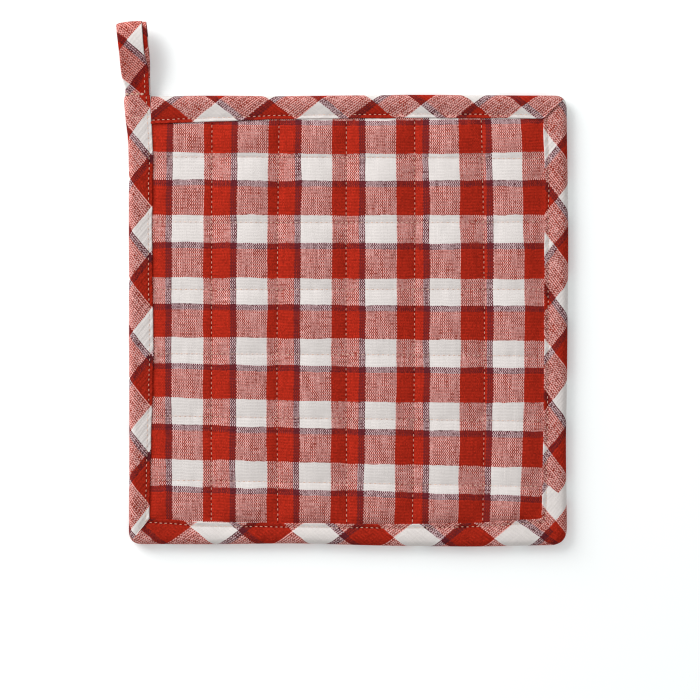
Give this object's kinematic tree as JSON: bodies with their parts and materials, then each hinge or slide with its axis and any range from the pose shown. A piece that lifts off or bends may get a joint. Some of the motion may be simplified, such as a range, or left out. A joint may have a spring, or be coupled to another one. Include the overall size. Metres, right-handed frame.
{
  "type": "quilted pot holder",
  "caption": "Square quilted cotton pot holder in a red and white check, with a bias-cut binding round its edge and a hanging loop at one corner.",
  "frame": {"origin": "middle of the part's box, on the surface that it lies on", "axes": "+Z out of the front face, +Y towards the edge with the hanging loop, +X to the right as the front is seen"},
  "size_m": [0.2084, 0.242, 0.0101],
  "materials": {
    "check_cloth": "plain-weave cotton in a red and off-white check with a fine dark stripe, quilted over wadding, matt",
    "bias_check": "the same checked cotton cut on the bias and folded into a tape, matt",
    "sewing_thread": "twisted cream cotton sewing thread"
  },
  "bodies": {
    "root": {"quilted_pad": "check_cloth", "bias_binding": "bias_check", "hanging_loop": "bias_check"}
  },
  "joints": []
}
